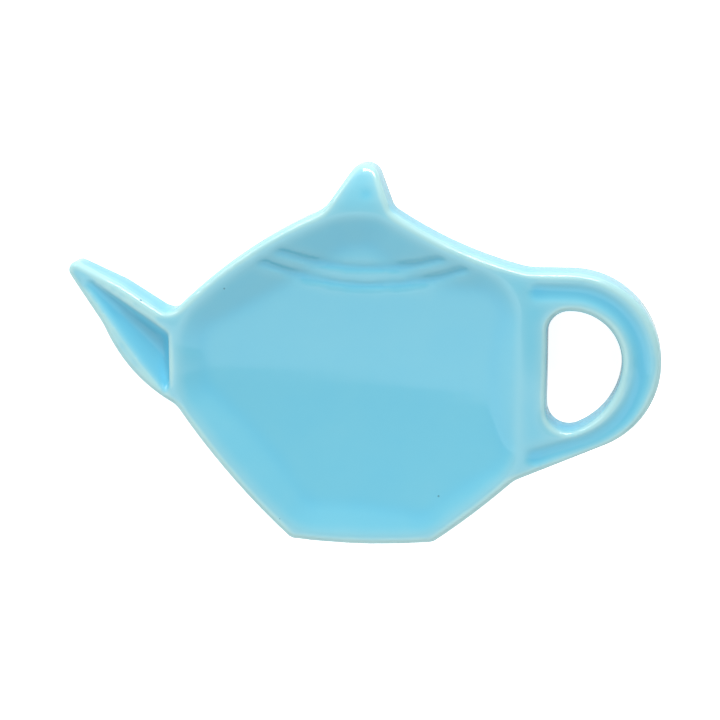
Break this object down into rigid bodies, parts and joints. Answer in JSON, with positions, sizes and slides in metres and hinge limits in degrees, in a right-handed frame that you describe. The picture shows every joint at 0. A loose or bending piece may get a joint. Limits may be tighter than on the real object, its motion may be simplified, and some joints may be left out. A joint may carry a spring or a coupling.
{
  "type": "tea bag rest",
  "caption": "Shallow glazed ceramic dish in the outline of a teapot, with a hollow spout, a pointed knob and a looped grooved handle, that holds a used tea bag.",
  "frame": {"origin": "middle of the overall outline, on the flat back", "axes": "+X from the spout to the handle, +Y from the pot's foot to its knob, +Z out of the dish"},
  "size_m": [0.12, 0.0771, 0.0095],
  "materials": {
    "sky_blue_glaze": "glossy transparent-coloured glaze over white earthenware"
  },
  "bodies": {
    "root": {"body": "sky_blue_glaze", "lid": "sky_blue_glaze", "lid_bead": "sky_blue_glaze", "knob": "sky_blue_glaze", "spout": "sky_blue_glaze", "handle": "sky_blue_glaze"}
  },
  "joints": []
}
